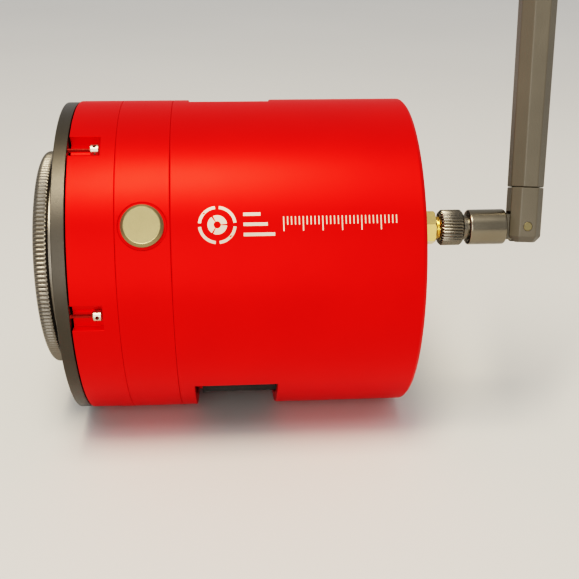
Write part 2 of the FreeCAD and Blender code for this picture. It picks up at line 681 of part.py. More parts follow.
def antenna_sleeve():
    body = turned([(SLEEVE_START, 0), (SLEEVE_START, SLEEVE_R - 0.5), (SLEEVE_START + 0.5, SLEEVE_R),
                   (SLEEVE_END - 0.6, SLEEVE_R), (SLEEVE_END, SLEEVE_R - 0.6), (SLEEVE_END, 0)])
    body.translate(V(0, 0, SMA_Z))
    tongue = block(SLEEVE_END - 1, PIN_X, -TONGUE_HALF, TONGUE_HALF, SMA_Z - TONGUE_R, SMA_Z + TONGUE_R)
    tip = Part.makeCylinder(TONGUE_R, 2 * TONGUE_HALF, V(PIN_X, -TONGUE_HALF, SMA_Z), AXIS_Y)
    pin_hole = Part.makeCylinder(PIN_R + 0.05, 20, V(PIN_X, -10, SMA_Z), AXIS_Y)
    barrel_hole = disc(SLEEVE_START - 1, SLEEVE_START + 4.1, 2.52, 0, SMA_Z)
    return body.fuse([tongue, tip]).cut([pin_hole, barrel_hole])


def blade_base():
    """Fork at the blade's foot: a slot takes the sleeve's tongue, a spigot goes up the blade."""
    cut = 1.5
    bottom, top = SMA_Z + FORK_BOTTOM, SMA_Z + FORK_TOP
    left, right = PIN_X - FORK_HALF_X, PIN_X + FORK_HALF_X
    side = prism([(left + cut, bottom), (right - cut, bottom), (right, bottom + cut), (right, top),
                  (left, top), (left, bottom + cut)], -FORK_HALF_Y, FORK_HALF_Y)
    section = Part.Face(octagon(bottom - 1, PIN_X, FORK_HALF_X, FORK_HALF_Y, 2.1)).extrude(V(0, 0, 30))
    body = side.common(section)
    gap = TONGUE_HALF + 0.25
    slot = block(left - 1, PIN_X + TONGUE_R + 0.3, -gap, gap, bottom - 1, SMA_Z + TONGUE_R + 0.5)
    spigot = block(PIN_X - 2.9, PIN_X + 2.9, -2.8, 2.8, top - 1, top + 7)
    pin_hole = Part.makeCylinder(PIN_R + 0.01, 20, V(PIN_X, -10, SMA_Z), AXIS_Y)
    return body.fuse(spigot).cut([slot, pin_hole])


def antenna_blade():
    low, high = SMA_Z + FORK_TOP + 0.15, SMA_Z + BLADE_TOP - 2.5
    outer = Part.makeLoft([octagon(low, PIN_X, BLADE_HALF_X, BLADE_HALF_Y, BLADE_CORNER),
                           octagon(high, PIN_X, BLADE_TOP_HALF, BLADE_HALF_Y, BLADE_CORNER)], True, True)
    hollow = block(PIN_X - 3.0, PIN_X + 3.0, -2.9, 2.9, low - 1, high - 1.5)
    return outer.cut(hollow)


def antenna_tip():
    low, high = SMA_Z + BLADE_TOP - 2.45, SMA_Z + BLADE_TOP
    half_x, half_y, corner = BLADE_TOP_HALF, BLADE_HALF_Y, BLADE_CORNER
    return Part.makeLoft([octagon(low, PIN_X, half_x, half_y, corner),
                          octagon(high - 0.9, PIN_X, half_x - 0.3, half_y - 0.3, corner - 0.2),
                          octagon(high, PIN_X, half_x - 1.5, half_y - 1.5, corner - 0.9)], True, True)


def on_sleeve(shape):
    """Copy turned about the connector's axis."""
    return about_x(shape, SWIVEL, 0, SMA_Z)


def on_blade(shape):
    """Copy leaned back about the hinge pin, and then turned with the sleeve."""
    leaned = shape.copy()
    leaned.rotate(V(PIN_X, 0, SMA_Z), AXIS_Y, FOLD)
    return on_sleeve(leaned)


pin = Part.makeCylinder(PIN_R, 2 * FORK_HALF_Y + 0.1, V(PIN_X, -FORK_HALF_Y - 0.05, SMA_Z), AXIS_Y)
element = block(PIN_X - 2.2, PIN_X + 2.2, -0.4, 0.4, SMA_Z + FORK_TOP + 8, SMA_Z + BLADE_TOP - 6)
parts["antenna_connector"] = sma_connector()
parts["connector_washer"] = ring(COVER_FACE, REAR_X + 0.35, 4.9, SMA_R + 0.05, 0, SMA_Z)
parts["connector_hex_nut"] = hex_nut(REAR_X + 0.4, REAR_X + 3.4, 8.0, SMA_R + 0.02)
parts["antenna_coupling_nut"] = coupling_nut()
parts["antenna_barrel"] = on_sleeve(antenna_barrel())
parts["antenna_sleeve"] = on_sleeve(antenna_sleeve())
parts["antenna_hinge_pin"] = on_blade(pin)
parts["antenna_fork"] = on_blade(blade_base())
parts["antenna_blade"] = on_blade(antenna_blade())
parts["antenna_tip"] = on_blade(antenna_tip())
parts["antenna_element"] = on_blade(element)


# Write each node ----------------------------------------------------------------------------
os.makedirs("parts", exist_ok=True)
for name, shape in parts.items():
    about_x(shape, ROLL).exportStep(os.path.join("parts", name + ".step"))
    print(name, "valid" if shape.isValid() else "INVALID", len(shape.Solids), round(shape.Volume, 1))
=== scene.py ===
import json
import math

import bmesh
import bpy
from mathutils import Matrix, Vector


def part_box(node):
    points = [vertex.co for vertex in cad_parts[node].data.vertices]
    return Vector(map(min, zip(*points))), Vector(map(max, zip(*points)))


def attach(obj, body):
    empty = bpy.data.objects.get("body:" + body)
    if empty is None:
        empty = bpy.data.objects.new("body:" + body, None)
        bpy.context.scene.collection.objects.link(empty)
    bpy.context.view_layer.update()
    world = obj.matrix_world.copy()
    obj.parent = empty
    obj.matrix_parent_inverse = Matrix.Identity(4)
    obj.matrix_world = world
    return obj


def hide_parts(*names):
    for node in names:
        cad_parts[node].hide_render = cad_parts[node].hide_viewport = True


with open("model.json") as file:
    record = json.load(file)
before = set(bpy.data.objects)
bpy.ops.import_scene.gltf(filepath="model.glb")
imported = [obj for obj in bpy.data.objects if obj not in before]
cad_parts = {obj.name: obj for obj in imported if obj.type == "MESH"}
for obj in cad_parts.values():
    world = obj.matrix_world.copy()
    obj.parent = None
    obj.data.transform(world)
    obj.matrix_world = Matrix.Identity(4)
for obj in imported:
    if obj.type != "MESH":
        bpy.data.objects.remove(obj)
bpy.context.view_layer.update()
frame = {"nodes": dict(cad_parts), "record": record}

# Lengths below are in millimetres in the drawing frame: X along the optical axis towards the rear,
# and the side that carries the plug on top. ROLL turns that frame about X into the row frame.
MM = 0.001
ROLL = Matrix.Rotation(math.radians(60.0), 4, "X")
BEVEL_ANGLE = math.radians(32.0)


def station(node, side):
    """X of a CAD node's front (0) or rear (1) face, in millimetres."""
    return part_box(node)[side].x / MM


RED_X = station("front_ring", 0)
CHAMBER_X = station("chamber_ring", 0)
HOUSING_X = station("rear_housing", 0)
REAR_X = station("rear_housing", 1)
PLATE_X = station("tilt_plate", 0)
PLATE_END = station("tilt_plate", 1)
COVER_X = station("rear_cover", 0)
COVER_FACE = station("rear_cover", 1)
GLASS_X = station("window_glass", 0)
BODY_R = 45.0
SMA_Z = 36.0
PIN_X = REAR_X + 27.8
SWIVEL = math.radians(-77.2)
FOLD = math.radians(2.5)
NOTCH_ANGLES = [30.0 + 60.0 * i for i in range(6)]


# Mesh helpers -------------------------------------------------------------------------------
def new_object(name, mesh):
    obj = bpy.data.objects.new(name, mesh)
    bpy.context.scene.collection.objects.link(obj)
    return obj


def from_bmesh(name, bm):
    mesh = bpy.data.meshes.new(name)
    bmesh.ops.recalc_face_normals(bm, faces=bm.faces)
    bm.to_mesh(mesh)
    bm.free()
    return new_object(name, mesh)


def lathe(name, profile, segments=256, centre=(0.0, 0.0), wave=None):
    """Closed solid of revolution along X. profile is a closed loop of (x, radius); wave(x, r, turn)
    may change a radius round the circle, and centre is the (y, z) of the axis."""
    bm = bmesh.new()
    rows = []
    for x, r in profile:
        if r < 1e-6:
            rows.append([bm.verts.new((x, centre[0], centre[1]))])
            continue
        row = []
        for i in range(segments):
            turn = 2 * math.pi * i / segments
            reach = wave(x, r, turn) if wave else r
            row.append(bm.verts.new((x, centre[0] - reach * math.sin(turn),
                                     centre[1] + reach * math.cos(turn))))
        rows.append(row)
    for a, b in zip(rows, rows[1:] + rows[:1]):
        for i in range(segments):
            j = (i + 1) % segments
            corners = [a[i % len(a)], a[j % len(a)], b[j % len(b)], b[i % len(b)]]
            unique = list(dict.fromkeys(corners))
            if len(unique) > 2:
                bm.faces.new(unique)
    return from_bmesh(name, bm)


def box(name, x0, x1, y0, y1, z0, z1):
    bm = bmesh.new()
    bmesh.ops.create_cube(bm, size=1.0)
    for v in bm.verts:
        v.co = Vector((x0 + (v.co.x + 0.5) * (x1 - x0), y0 + (v.co.y + 0.5) * (y1 - y0),
                       z0 + (v.co.z + 0.5) * (z1 - z0)))
    return from_bmesh(name, bm)


def rod(name, start, end, radius, segments=48):
    """Cylinder between two points."""
    start, end = Vector(start), Vector(end)
    bm = bmesh.new()
    bmesh.ops.create_cone(bm, cap_ends=True, segments=segments, radius1=radius, radius2=radius,
                          depth=(end - start).length)
    turn = (end - start).to_track_quat("Z", "Y").to_matrix().to_4x4()
    bmesh.ops.transform(bm, matrix=Matrix.Translation((start + end) / 2) @ turn, verts=bm.verts)
    return from_bmesh(name, bm)


def prism(name, outline, y0, y1):
    """Solid from (x, z) points, extruded along Y."""
    bm = bmesh.new()
    near = [bm.verts.new((x, y0, z)) for x, z in outline]
    far = [bm.verts.new((x, y1, z)) for x, z in outline]
    bm.faces.new(near)
    bm.faces.new(far[::-1])
    count = len(outline)
    for i in range(count):
        j = (i + 1) % count
        bm.faces.new((near[i], far[i], far[j], near[j]))
    return from_bmesh(name, bm)


def bar_x(name, outline, x0, x1):
    """Solid from (y, z) points, extruded along X."""
    return loft(name, [[(x0, y, z) for y, z in outline], [(x1, y, z) for y, z in outline]])


def rounded_rectangle(y, z, half_y, half_z, radius, steps=6):
    """Outline in (y, z) with round corners."""
    outline = []
    for k, (side_y, side_z) in enumerate(((1, 1), (-1, 1), (-1, -1), (1, -1))):
        for i in range(steps + 1):
            a = math.radians(90 * k + 90 * i / steps)
            outline.append((y + side_y * (half_y - radius) + radius * math.cos(a),
                            z + side_z * (half_z - radius) + radius * math.sin(a)))
    return outline


def loft(name, rings):
    """Solid through rings of points, all with the same number of points, capped at both ends."""
    bm = bmesh.new()
    rows = [[bm.verts.new(p) for p in points] for points in rings]
    count = len(rows[0])
    for a, b in zip(rows, rows[1:]):
        for i in range(count):
            j = (i + 1) % count
            bm.faces.new((a[i], a[j], b[j], b[i]))
    bm.faces.new(rows[0][::-1])
    bm.faces.new(rows[-1])
    return from_bmesh(name, bm)


def transform(obj, matrix):
    obj.data.transform(matrix)
    return obj


def about_x(obj, angle, y=0.0, z=0.0):
    """Turn a piece about the line along X through (y, z)."""
    move = Matrix.Translation((0, y, z))
    return transform(obj, move @ Matrix.Rotation(angle, 4, "X") @ move.inverted())


def apply_modifiers(obj):
    bpy.context.view_layer.update()
    graph = bpy.context.evaluated_depsgraph_get()
    mesh = bpy.data.meshes.new_from_object(obj.evaluated_get(graph))
    old = obj.data
    obj.modifiers.clear()
    obj.data = mesh
    bpy.data.meshes.remove(old)
    return obj


def joined(name, objects):
    """One object from several, without changing their surfaces."""
    bm = bmesh.new()
    for obj in objects:
        bm.from_mesh(obj.data)
        bpy.data.objects.remove(obj)
    return from_bmesh(name, bm)


def combine(obj, tools, operation="DIFFERENCE"):
    """Exact boolean of a piece with each tool in turn; the tools are used up."""
    for tool in tools:
        modifier = obj.modifiers.new("boolean", "BOOLEAN")
        modifier.operation = operation
        modifier.solver = "EXACT"
        modifier.object = tool
        apply_modifiers(obj)
        bpy.data.objects.remove(tool)
    return obj


def merge_flat(obj, triangles=False):
    """Join the coplanar faces and collinear edges that a boolean leaves."""
    bm = bmesh.new()
    bm.from_mesh(obj.data)
    bmesh.ops.dissolve_limit(bm, angle_limit=math.radians(0.2), verts=bm.verts, edges=bm.edges)
    if triangles:
        bmesh.ops.triangulate(bm, faces=bm.faces, quad_method="BEAUTY", ngon_method="BEAUTY")
    bm.to_mesh(obj.data)
    bm.free()
    return obj


def bevel(obj, width, segments=3, angle=BEVEL_ANGLE, triangles=False):
    merge_flat(obj, triangles)
    modifier = obj.modifiers.new("bevel", "BEVEL")
    modifier.width = width
    modifier.segments = segments
    modifier.limit_method = "ANGLE"
    modifier.angle_limit = angle
    modifier.use_clamp_overlap = False
    modifier.loop_slide = False
    return apply_modifiers(obj)


def smooth(obj, angle=math.radians(30.0)):
    """Smooth shading, with edges sharper than the angle kept crisp."""
    for polygon in obj.data.polygons:
        polygon.use_smooth = True
    bm = bmesh.new()
    bm.from_mesh(obj.data)
    for edge in bm.edges:
        edge.smooth = len(edge.link_faces) == 2 and edge.calc_face_angle(0.0) < angle
    bm.to_mesh(obj.data)
    bm.free()
    return obj


def even_shading(obj):
    """Normals weighted by face area, so that a bevel beside a flat face doesn't shade it."""
    modifier = obj.modifiers.new("normals", "WEIGHTED_NORMAL")
    modifier.mode = "FACE_AREA"
    modifier.keep_sharp = True
    return apply_modifiers(obj)


def finish_piece(obj, body, material, replaces=()):
    """Scale to metres, turn into the row frame, shade, paint, and put on its CAD body."""
    transform(obj, ROLL @ Matrix.Scale(MM, 4))
    smooth(obj)
    even_shading(obj)
    obj.data.materials.clear()
    obj.data.materials.append(material)
    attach(obj, body)
    if replaces:
        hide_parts(*replaces)
    return obj


def arc_corner(points, radius, steps=4):
    """Profile with every corner rounded to the radius, or less where an edge is short."""
    count = len(points)
    rounded = []
    for i in range(count):
        before, here, after = (Vector(points[(i + k) % count]) for k in (-1, 0, 1))
        if here.y < 1e-6:
            rounded.append(tuple(here))
            continue
        into, out = (here - before), (after - here)
        turn = into.angle(out, 0.0)
        if turn < math.radians(15):
            rounded.append(tuple(here))
            continue
        reach = min(radius * math.tan(turn / 2), into.length * 0.45, out.length * 0.45)
        start, end = here - into.normalized() * reach, here + out.normalized() * reach
        for k in range(steps + 1):
            t = k / steps
            rounded.append(tuple(start.lerp(here, t).lerp(here.lerp(end, t), t)))
    return rounded


# Materials ----------------------------------------------------------------------------------
def shader(name, metallic=0.0, roughness=0.5, coat=0.0, coat_roughness=0.1, ior=1.5, transmission=0.0,
           edge=(1.0, 1.0, 1.0)):
    mat = bpy.data.materials.new(name)
    mat.use_nodes = True
    tree = mat.node_tree
    surface = tree.nodes["Principled BSDF"]
    surface.inputs["Metallic"].default_value = metallic
    surface.inputs["Roughness"].default_value = roughness
    surface.inputs["Coat Weight"].default_value = coat
    surface.inputs["Coat Roughness"].default_value = coat_roughness
    surface.inputs["IOR"].default_value = ior
    surface.inputs["Transmission Weight"].default_value = transmission
    surface.inputs["Specular Tint"].default_value = (*edge, 1.0)
    coordinates = tree.nodes.new("ShaderNodeTexCoord")
    return mat, tree, surface, coordinates.outputs["Object"]


def noise(tree, vector, scale, detail=3.0, stretch=None):
    """Noise texture; stretch scales the three axes before it."""
    if stretch:
        mapping = tree.nodes.new("ShaderNodeMapping")
        mapping.inputs["Scale"].default_value = stretch
        tree.links.new(vector, mapping.inputs["Vector"])
        vector = mapping.outputs["Vector"]
    node = tree.nodes.new("ShaderNodeTexNoise")
    node.inputs["Scale"].default_value = scale
    node.inputs["Detail"].default_value = detail
    tree.links.new(vector, node.inputs["Vector"])
    return node.outputs["Fac"]


def remap(tree, value, low, high):
    node = tree.nodes.new("ShaderNodeMapRange")
    node.inputs["From Min"].default_value = 0.3
    node.inputs["From Max"].default_value = 0.7
    node.inputs["To Min"].default_value = low
    node.inputs["To Max"].default_value = high
    tree.links.new(value, node.inputs["Value"])
    return node.outputs["Result"]


def two_tone(tree, value, low, high):
    ramp = tree.nodes.new("ShaderNodeValToRGB")
    ramp.color_ramp.elements[0].position = 0.3
    ramp.color_ramp.elements[0].color = (*low, 1.0)
    ramp.color_ramp.elements[1].position = 0.7
    ramp.color_ramp.elements[1].color = (*high, 1.0)
    tree.links.new(value, ramp.inputs["Fac"])
    return ramp.outputs["Color"]


def bump(tree, surface, height, strength, distance):
    node = tree.nodes.new("ShaderNodeBump")
    node.inputs["Strength"].default_value = strength
    node.inputs["Distance"].default_value = distance
    tree.links.new(height, node.inputs["Height"])
    tree.links.new(node.outputs["Normal"], surface.inputs["Normal"])


def grained(name, low, high, metallic, roughness, grain_scale, grain_strength, spread=0.05,
            coat=0.0, coat_roughness=0.3, tone_scale=60.0, stretch=None, edge=(1.0, 1.0, 1.0)):
    """Finish with slow colour drift, a little roughness variation and a fine surface grain."""
    mat, tree, surface, where = shader(name, metallic, roughness, coat, coat_roughness, edge=edge)
    slow = noise(tree, where, tone_scale, 4.0)
    fine = noise(tree, where, grain_scale, 2.0, stretch)
    tree.links.new(two_tone(tree, slow, low, high), surface.inputs["Base Color"])
    tree.links.new(remap(tree, fine, roughness - spread, roughness + spread), surface.inputs["Roughness"])
    bump(tree, surface, fine, grain_strength, 0.00008)
    return mat


def glass(name, tint, coat_tint, roughness=0.0):
    """Clear glass with a faint drift in the tint of its coating."""
    mat, tree, surface, where = shader(name, 0.0, roughness, 0.3, 0.0, 1.5, 1.0)
    drift = noise(tree, where, 35.0)
    tree.links.new(two_tone(tree, drift, tint, coat_tint), surface.inputs["Base Color"])
    return mat


RED = grained("red_anodised", (0.82, 0.0012, 0.0004), (0.90, 0.0022, 0.0007), 0.55, 0.34, 4200.0, 0.22,
              coat=0.06, coat_roughness=0.34, edge=(1.0, 0.10, 0.05))
BLACK = grained("black_anodised", (0.044, 0.039, 0.031), (0.055, 0.049, 0.040), 0.8, 0.40, 3600.0, 0.30,
                coat=0.2, coat_roughness=0.35)
COVER_BLACK = grained("cover_black", (0.030, 0.029, 0.028), (0.040, 0.039, 0.037), 0.7, 0.38, 3600.0, 0.3,
                      coat=0.15, coat_roughness=0.35)
SCREW_STEEL = grained("screw_steel", (0.30, 0.29, 0.275), (0.38, 0.37, 0.35), 1.0, 0.3, 3000.0, 0.12)
KNURL_BLACK = grained("knurled_black", (0.140, 0.127, 0.108), (0.172, 0.157, 0.135), 0.9, 0.34, 3600.0, 0.25,
                      coat=0.2, coat_roughness=0.3)
SINK_BLACK = grained("sink_black", (0.020, 0.019, 0.018), (0.034, 0.032, 0.030), 0.6, 0.5, 2500.0, 0.25)
SILVER = grained("satin_aluminium", (0.66, 0.63, 0.58), (0.74, 0.71, 0.66), 1.0, 0.42, 3800.0, 0.25)
PLUG_SILVER = grained("plug_nickel", (0.26, 0.218, 0.120), (0.29, 0.246, 0.138), 1.0, 0.38, 3800.0, 0.25)
HEAD_STEEL = grained("head_steel", (0.52, 0.45, 0.36), (0.60, 0.52, 0.42), 1.0, 0.34, 3000.0, 0.1)
# Jack screw shanks are steel. Their dark red base colour is painted reflection of the red notch walls around
# them, plus painted shade.
THREAD_PAINTED_RED_REFLECTION = grained("thread_painted_red_reflection", (0.34, 0.020, 0.012), (0.42, 0.030, 0.018), 0.9, 0.42, 3000.0, 0.1)
STEEL = grained("stainless_steel", (0.60, 0.58, 0.55), (0.70, 0.68, 0.65), 1.0, 0.26, 3000.0, 0.12)
GOLD = grained("gold_plate", (0.80, 0.55, 0.20), (0.90, 0.66, 0.28), 1.0, 0.2, 2600.0, 0.1)
NICKEL = grained("black_nickel", (0.135, 0.122, 0.100), (0.180, 0.163, 0.135), 1.0, 0.27, 3200.0, 0.15)
MARK = grained("laser_mark", (0.60, 0.47, 0.38), (0.70, 0.56, 0.46), 0.5, 0.5, 5200.0, 0.35)
ANTENNA = grained("antenna_plastic", (0.068, 0.060, 0.045), (0.088, 0.078, 0.059), 0.0, 0.45, 2600.0, 0.55,
                  coat=0.1, coat_roughness=0.35, tone_scale=40.0)
SLEEVE = grained("sleeve_nickel", (0.200, 0.178, 0.140), (0.225, 0.202, 0.160), 1.0, 0.24, 250.0, 0.0,
                 spread=0.02)
PLASTIC = grained("black_plastic", (0.018, 0.018, 0.018), (0.028, 0.028, 0.028), 0.0, 0.46, 2400.0, 0.35)
USB_BLUE = grained("tongue_plastic", (0.010, 0.060, 0.34), (0.014, 0.075, 0.40), 0.0, 0.4, 2400.0, 0.2)
RUBBER = grained("rubber", (0.012, 0.012, 0.012), (0.02, 0.02, 0.02), 0.0, 0.75, 1800.0, 0.4)
BOARD = grained("circuit_board", (0.006, 0.045, 0.02), (0.010, 0.075, 0.032), 0.0, 0.32, 1500.0, 0.2,
                coat=0.3, tone_scale=400.0)
CERAMIC = grained("ceramic", (0.78, 0.76, 0.72), (0.86, 0.85, 0.82), 0.0, 0.5, 1500.0, 0.2)
FOAM = grained("foam", (0.03, 0.03, 0.03), (0.06, 0.06, 0.06), 0.0, 0.9, 900.0, 0.8)
COPPER = grained("copper", (0.60, 0.25, 0.12), (0.72, 0.34, 0.18), 1.0, 0.32, 1600.0, 0.3)
PACKAGE = grained("sensor_package", (0.020, 0.020, 0.022), (0.030, 0.030, 0.032), 0.0, 0.45, 2400.0, 0.15)


def coated_chip(name, low, high):
    """Polished chip under a coating whose tint drifts from blue to violet."""
    mat, tree, surface, where = shader(name, 0.0, 0.12, 0.7, 0.03, 1.7)
    tree.links.new(two_tone(tree, noise(tree, where, 45.0, 1.0), low, high), surface.inputs["Base Color"])
    return mat


SENSOR = coated_chip("sensor_face", (0.006, 0.020, 0.050), (0.040, 0.012, 0.060))
WINDOW = glass("window_glass", (0.90, 0.97, 0.95), (0.96, 0.99, 0.99))
LIGHT_PIPE = glass("light_pipe", (0.85, 0.95, 0.90), (0.92, 0.98, 0.95), 0.12)


# CAD nodes that keep their shape -------------------------------------------------------------
KEPT = {
    "red_anodised": RED, "black_anodised": BLACK, "bare_aluminium": SILVER, "stainless_steel": STEEL,
    "gold_plated_brass": GOLD, "black_nickel": NICKEL, "window_glass": WINDOW, "sensor_glass": SENSOR,
    "antenna_plastic": ANTENNA, "sleeve_plastic": SLEEVE, "black_plastic": PLASTIC, "rubber": RUBBER,
    "circuit_board": BOARD, "ceramic": CERAMIC, "foam": FOAM, "copper": COPPER, "light_pipe": LIGHT_PIPE,
}
for part in frame["record"]["subparts"]:
    node = frame["nodes"][part["node"]]
    node.data.materials.clear()
    node.data.materials.append(KEPT[part["material_slot"]])
SPECIAL = {"heat_sink": SINK_BLACK, "rear_cover": COVER_BLACK, "rear_cover_screws": SCREW_STEEL,
           "fan_screws": SCREW_STEEL}
for node, finish in SPECIAL.items():
    frame["nodes"][node].data.materials[0] = finish


# Front adapter ring -------------------------------------------------------------------------
ADAPTER_R, ADAPTER_T, NECK_R = 31.0, 3.8, 29.2
RIBS, RIB_DEPTH = 160, 0.42
M42_R, M42_DEPTH, M42_PITCH = 20.59, 5.0, 0.75


def adapter_wave(x, r, turn):
    """Ribs on the knurled band, and the female thread in the bore."""
    if r > ADAPTER_R - 1.2 and 0.25 < x < ADAPTER_T - 0.2:
        phase = (turn * RIBS / (2 * math.pi)) % 1.0
        fade = min(1.0, (x - 0.25) / 0.5, (ADAPTER_T - 0.2 - x) / 0.3)
        return r - RIB_DEPTH * fade * (2 * abs(phase - 0.5)) ** 1.6
    if r < M42_R + 0.01 and 0.5 < x < M42_DEPTH:
        phase = (x / M42_PITCH - turn / (2 * math.pi)) % 1.0
        return r + 0.40 * (1 - 2 * abs(phase - 0.5))
    return r


def adapter_ring():
    outside = [(0.0, 22.0), (0.0, ADAPTER_R - 1.5), (0.12, ADAPTER_R - 1.0), (0.4, ADAPTER_R - 0.45),
               (0.8, ADAPTER_R - 0.12), (1.25, ADAPTER_R)]
    outside += [(1.25 + 0.3 * i, ADAPTER_R) for i in range(1, 7)]
    outside += [(ADAPTER_T - 0.35, ADAPTER_R), (ADAPTER_T - 0.12, ADAPTER_R - 0.15),
                (ADAPTER_T, ADAPTER_R - 0.5), (ADAPTER_T, NECK_R + 0.25), (ADAPTER_T + 0.2, NECK_R)]
    behind = [(PLATE_X, NECK_R), (PLATE_X, 26.9), (PLATE_END - 0.4, 26.9), (PLATE_END - 0.3, 26.7),
              (PLATE_END - 0.3, 23.5), (M42_DEPTH + 0.2, 23.5), (M42_DEPTH, 23.3), (M42_DEPTH, M42_R)]
    steps = int((M42_DEPTH - 0.5) / (M42_PITCH / 8))
    bore = [(M42_DEPTH - (i + 0.5) * M42_PITCH / 8, M42_R) for i in range(steps)]
    mouth = [(0.45, M42_R), (0.0, 21.1)]
    return lathe("adapter_ring", outside + behind + bore + mouth, 960, wave=adapter_wave)


finish_piece(adapter_ring(), "tilt_plate", KNURL_BLACK, ["front_adapter_ring"])


# Tilt plate ---------------------------------------------------------------------------------
PLATE_R, M54_R = 44.7, 27.0
PULL_CIRCLE, PULL_ANGLES = 36.5, (60.0, 180.0, 300.0)
PULL_POCKET_R, PULL_POCKET_DEPTH, PULL_HOLE_R = 2.95, 2.2, 1.55


def around(make, angles):
    """One piece per angle, each made on top and turned about X."""
    return [about_x(make(), math.radians(angle)) for angle in angles]


def tilt_plate():
    plate = lathe("plate", [(PLATE_X, M54_R), (PLATE_X, PLATE_R), (PLATE_END, PLATE_R),
                            (PLATE_END, M54_R)], 320)
    floor_x = PLATE_X + PULL_POCKET_DEPTH
    pockets = around(lambda: rod("pocket", (PLATE_X - 1, 0, PULL_CIRCLE), (floor_x, 0, PULL_CIRCLE),
                                 PULL_POCKET_R), PULL_ANGLES)
    holes = around(lambda: rod("hole", (PLATE_X + 1, 0, PULL_CIRCLE), (PLATE_END + 1, 0, PULL_CIRCLE),
                               PULL_HOLE_R), PULL_ANGLES)
    combine(plate, pockets + holes)
    return bevel(plate, 0.22)


finish_piece(tilt_plate(), "tilt_plate", BLACK, ["tilt_plate"])


# Jack screws --------------------------------------------------------------------------------
JACK_CIRCLE, JACK_HEAD_R, JACK_R = 43.3, 1.45, 0.55
JACK_HEAD_END = RED_X + 7.75
JACK_HEAD_START = JACK_HEAD_END - 2.35
JACK_PITCH, JACK_STEP = 0.35, 0.0875


def jack_thread(x, r, turn):
    if r < JACK_R + 0.01 and x > PLATE_END:
        phase = (x / JACK_PITCH - turn / (2 * math.pi)) % 1.0
        return r - 0.12 * (1 - 2 * abs(phase - 0.5))
    return r


def jack_head():
    """Capstan head: cross holes through it take a pin from the side."""
    rows = [(JACK_HEAD_START, 0.0), (JACK_HEAD_START, JACK_HEAD_R - 0.2),
            (JACK_HEAD_START + 0.2, JACK_HEAD_R), (JACK_HEAD_END - 0.25, JACK_HEAD_R),
            (JACK_HEAD_END, JACK_HEAD_R - 0.25), (JACK_HEAD_END, 0.0)]
    head = lathe("jack_head", rows, 64, (0.0, JACK_CIRCLE))
    middle = (JACK_HEAD_START + JACK_HEAD_END) / 2
    cross = [rod("cross", (middle, -3, JACK_CIRCLE), (middle, 3, JACK_CIRCLE), 0.35, 24),
             rod("cross", (middle, 0, JACK_CIRCLE - 3), (middle, 0, JACK_CIRCLE + 3), 0.5, 24)]
    return combine(head, cross)


def jack_shank():
    rows = [(PLATE_X + 1.1, 0.0), (PLATE_X + 1.1, JACK_R)]
    rows += [(PLATE_X + 1.2 + JACK_STEP * i, JACK_R)
             for i in range(1, int((JACK_HEAD_START - PLATE_X - 1.3) / JACK_STEP))]
    rows += [(JACK_HEAD_START + 0.05, JACK_R), (JACK_HEAD_START + 0.05, 0.0)]
    return lathe("jack_shank", rows, 48, (0.0, JACK_CIRCLE), jack_thread)


heads = joined("jack_screw_heads", around(jack_head, NOTCH_ANGLES))
finish_piece(heads, "tilt_plate", HEAD_STEEL, ["tilt_jack_screws"])
# The shank finish is a painted red reflection and painted shade on steel.
shanks = joined("jack_screw_shanks", around(jack_shank, NOTCH_ANGLES))
finish_piece(shanks, "tilt_plate", THREAD_PAINTED_RED_REFLECTION)


# Red shells ---------------------------------------------------------------------------------
NOTCH_LENGTH, NOTCH_WIDTH, NOTCH_FLOOR = 8.1, 6.9, 41.9
SHELL_SEGMENTS = 288


def front_ring():
    seat, pocket = GLASS_X + 2.25, RED_X + 3.0
    ring = lathe("front_ring_shell", [(RED_X, 30.0), (RED_X, BODY_R), (CHAMBER_X - 0.04, BODY_R),
                                      (CHAMBER_X - 0.04, 20.0), (seat, 20.0), (seat, 24.2), (pocket, 24.2),
                                      (pocket, 30.0)], SHELL_SEGMENTS)
    half, end = NOTCH_WIDTH / 2, RED_X + NOTCH_LENGTH
    notches = around(lambda: box("notch", RED_X - 1, end, -half, half, NOTCH_FLOOR, BODY_R + 2), NOTCH_ANGLES)
    reliefs = around(lambda: rod("relief", (RED_X - 1, 0, JACK_CIRCLE), (end, 0, JACK_CIRCLE), 1.8, 40),
                     NOTCH_ANGLES)
    combine(ring, notches + reliefs)
    return bevel(ring, 0.14)


PLUG_X, PLUG_R, PLUG_SEAT, PLUG_TOP = CHAMBER_X + 7.0, 5.5, 44.4, 46.2


def chamber_ring():
    ring = lathe("chamber_ring_shell", [(CHAMBER_X + 0.04, 30.0), (CHAMBER_X + 0.04, BODY_R),
                                        (HOUSING_X - 0.04, BODY_R), (HOUSING_X - 0.04, 30.0)], SHELL_SEGMENTS)
    tools = [rod("spot_face", (PLUG_X, 0, PLUG_SEAT), (PLUG_X, 0, 50), 6.2, 96),
             rod("seal_pocket", (PLUG_X, 0, PLUG_SEAT - 1.2), (PLUG_X, 0, 50), 5.2, 96),
             rod("stem_hole", (PLUG_X, 0, 38.2), (PLUG_X, 0, 50), 4.05, 64)]
    combine(ring, tools)
    return bevel(ring, 0.18)


WINDOW_X0, WINDOW_LENGTH, WINDOW_HALF = HOUSING_X + 4.3, 23.1, 20.1
WALL_R = 42.0


def rear_housing():
    tube = lathe("rear_housing_shell", [(HOUSING_X + 0.04, 30.0), (HOUSING_X + 0.04, BODY_R),
                                        (REAR_X - 0.9, BODY_R), (REAR_X, BODY_R - 0.9), (REAR_X, WALL_R),
                                        (HOUSING_X + 2.5, WALL_R), (HOUSING_X + 2.5, 30.0)], SHELL_SEGMENTS)
    end = WINDOW_X0 + WINDOW_LENGTH
    windows = [box("vent", WINDOW_X0, end, *sorted((side * 32, side * 50)), -WINDOW_HALF, WINDOW_HALF)
               for side in (-1, 1)]
    combine(tube, windows)
    return bevel(tube, 0.28)


